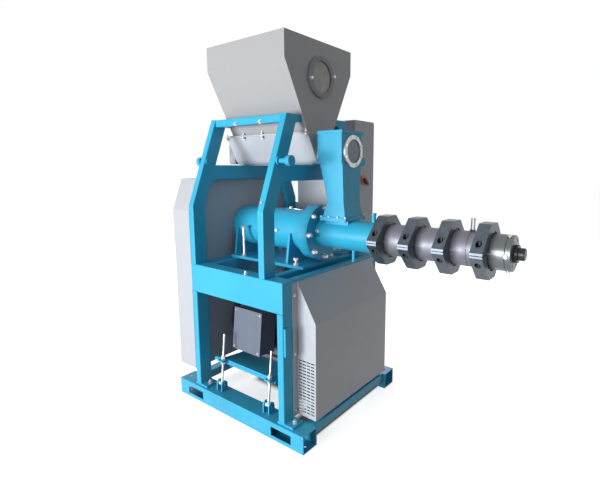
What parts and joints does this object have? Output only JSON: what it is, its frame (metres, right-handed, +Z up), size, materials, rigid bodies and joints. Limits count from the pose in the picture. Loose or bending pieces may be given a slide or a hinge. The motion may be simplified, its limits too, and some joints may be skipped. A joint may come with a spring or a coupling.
{
  "type": "feed extruder",
  "caption": "Feed extruder on a fork-lift skid: hopper, feeder trough and chute over a clamped barrel with a regulating plug, with a belt-driven motor below and a switch cabinet.",
  "frame": {"origin": "floor level under the middle of the skid, midway between the four anchor holes", "axes": "+X along the barrel towards the die, +Y towards the switch cabinet, +Z up"},
  "size_m": [2.252, 1.416, 2.5093],
  "materials": {
    "blue_paint": "satin sky-blue paint",
    "stainless_sheet": "light grey satin sheet",
    "grey_paint": "grey powder coat",
    "motor_grey": "dull grey enamel",
    "dark_steel": "dark phosphated steel",
    "barrel_steel": "turned steel",
    "bright_steel": "zinc plated",
    "glass": "clear sight glass",
    "switch_orange": "smooth plastic",
    "black_plastic": "moulded plastic"
  },
  "bodies": {
    "machine": {"barrel_chamber_1": "barrel_steel", "barrel_chamber_2": "barrel_steel", "barrel_chamber_3": "barrel_steel", "barrel_probes": "bright_steel", "base_cross_beams": "blue_paint", "bearing_housing": "blue_paint", "belt_guard": "grey_paint", "cabinet": "grey_paint", "cabinet_door": "grey_paint", "cabinet_rails": "grey_paint", "chute": "blue_paint", "clamps": "dark_steel", "deck_beams": "blue_paint", "die_head": "dark_steel", "die_ring": "dark_steel", "feed_tube": "blue_paint", "feeder_gearmotor": "motor_grey", "feeder_trough": "stainless_sheet", "feeder_tube": "stainless_sheet", "frame_plates": "blue_paint", "hopper": "stainless_sheet", "hopper_ends": "stainless_sheet", "left_arch": "blue_paint", "lifting_trunnions": "blue_paint", "mid_beams": "blue_paint", "motor_body": "motor_grey", "motor_cover": "grey_paint", "motor_plate": "blue_paint", "pivot_bars": "blue_paint", "posts": "blue_paint", "rail_brackets": "blue_paint", "regulating_plug": "dark_steel", "right_arch": "blue_paint", "saddles": "blue_paint", "sight_glasses": "glass", "sight_windows": "bright_steel", "skid_rails": "blue_paint", "support_plate": "blue_paint", "switch_plate": "switch_orange", "tension_nuts": "bright_steel", "tension_studs": "bright_steel", "terminal_box": "motor_grey", "tie_bolts": "bright_steel", "top_beams": "blue_paint"},
    "switch_handle": {"switch_handle": "black_plastic"}
  },
  "joints": [
    {"name": "main_switch_turn", "type": "hinge", "parent": "machine", "child": "switch_handle", "pos_m": [0.24, 0.69, 1.594], "axis": [1, 0, 0], "range_deg": [0, 90]}
  ]
}
